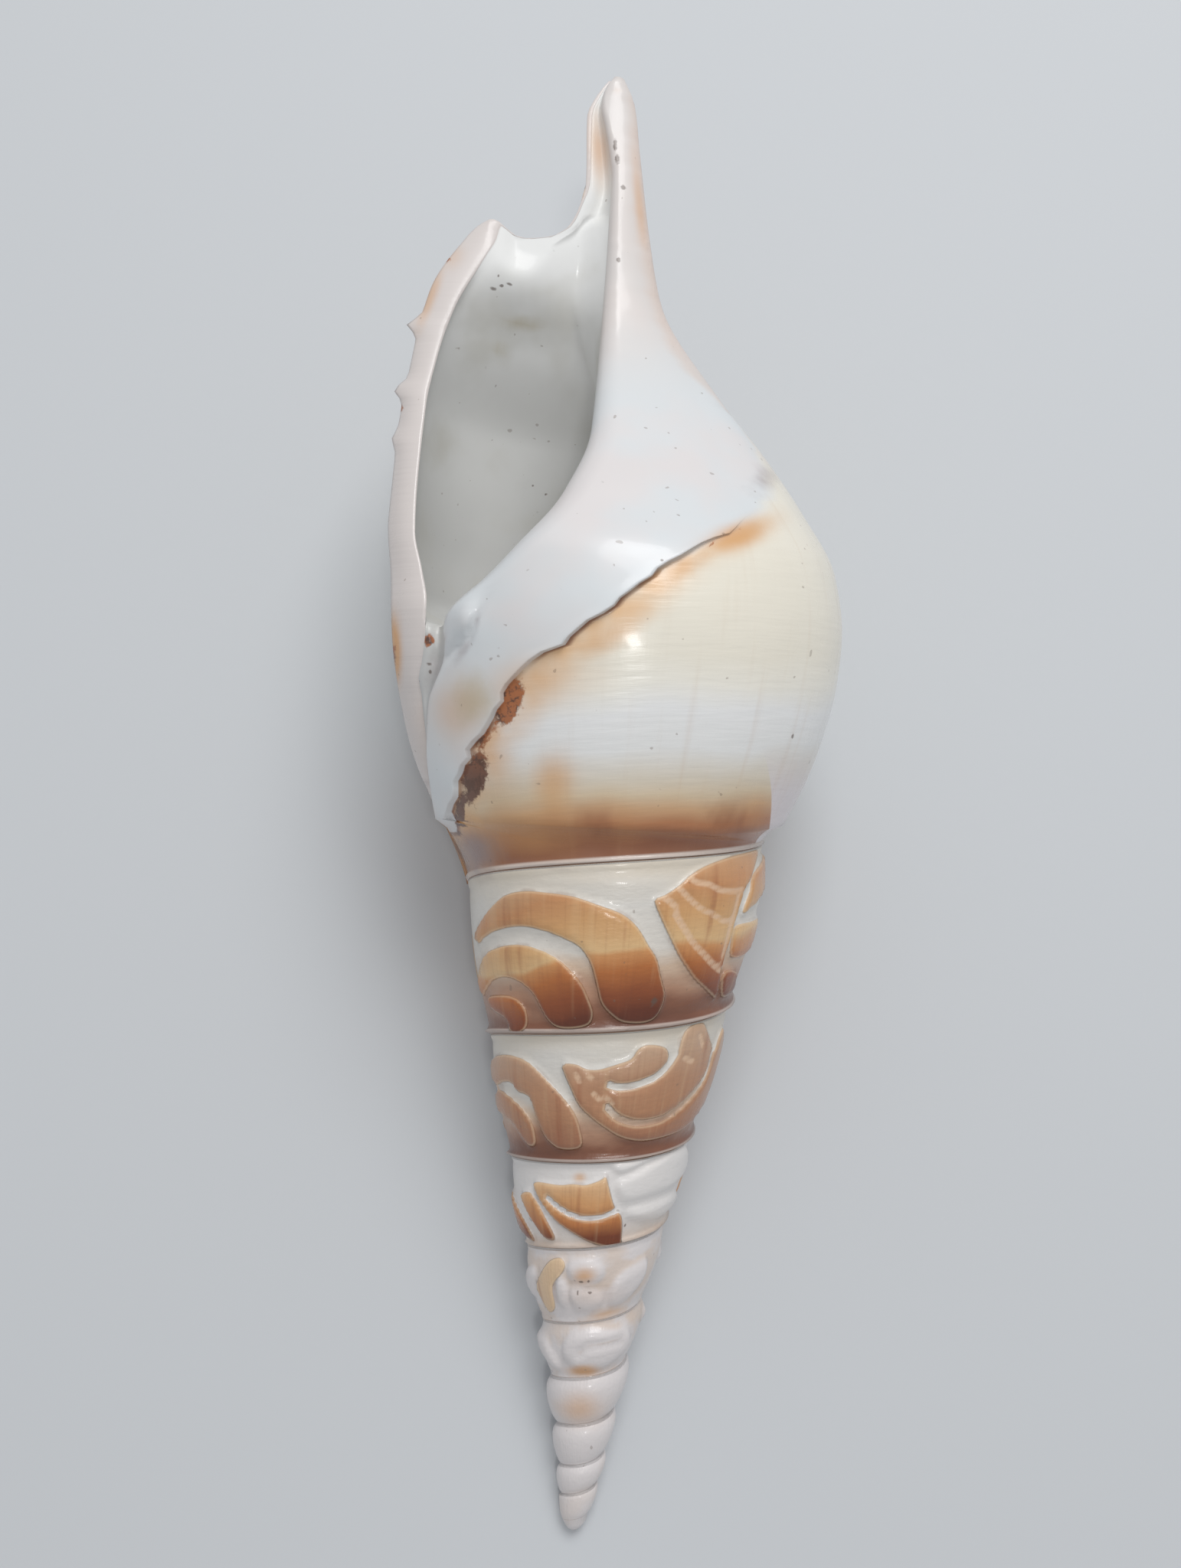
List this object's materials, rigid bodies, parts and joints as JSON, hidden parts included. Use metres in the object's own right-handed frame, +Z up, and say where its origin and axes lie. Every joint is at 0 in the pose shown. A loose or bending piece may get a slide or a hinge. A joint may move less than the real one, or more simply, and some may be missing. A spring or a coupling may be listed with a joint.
{
  "type": "carved tibia shell",
  "caption": "Long-spired sea shell lying mouth up, with a carved spire, a swollen last whorl, a toothed outer lip and a short grooved canal.",
  "frame": {"origin": "bottom centre of the bounding box, on the surface that the shell rests on", "axes": "+Y along the shell towards the canal's tip, -Y towards the apex, +Z up out of the mouth, +X to the right when the canal points away"},
  "size_m": [0.0474, 0.1462, 0.0432],
  "materials": {
    "polished_shell": "glossy, white carved grounds and orange-brown raised figures"
  },
  "bodies": {
    "root": {"shell": "polished_shell"}
  },
  "joints": []
}
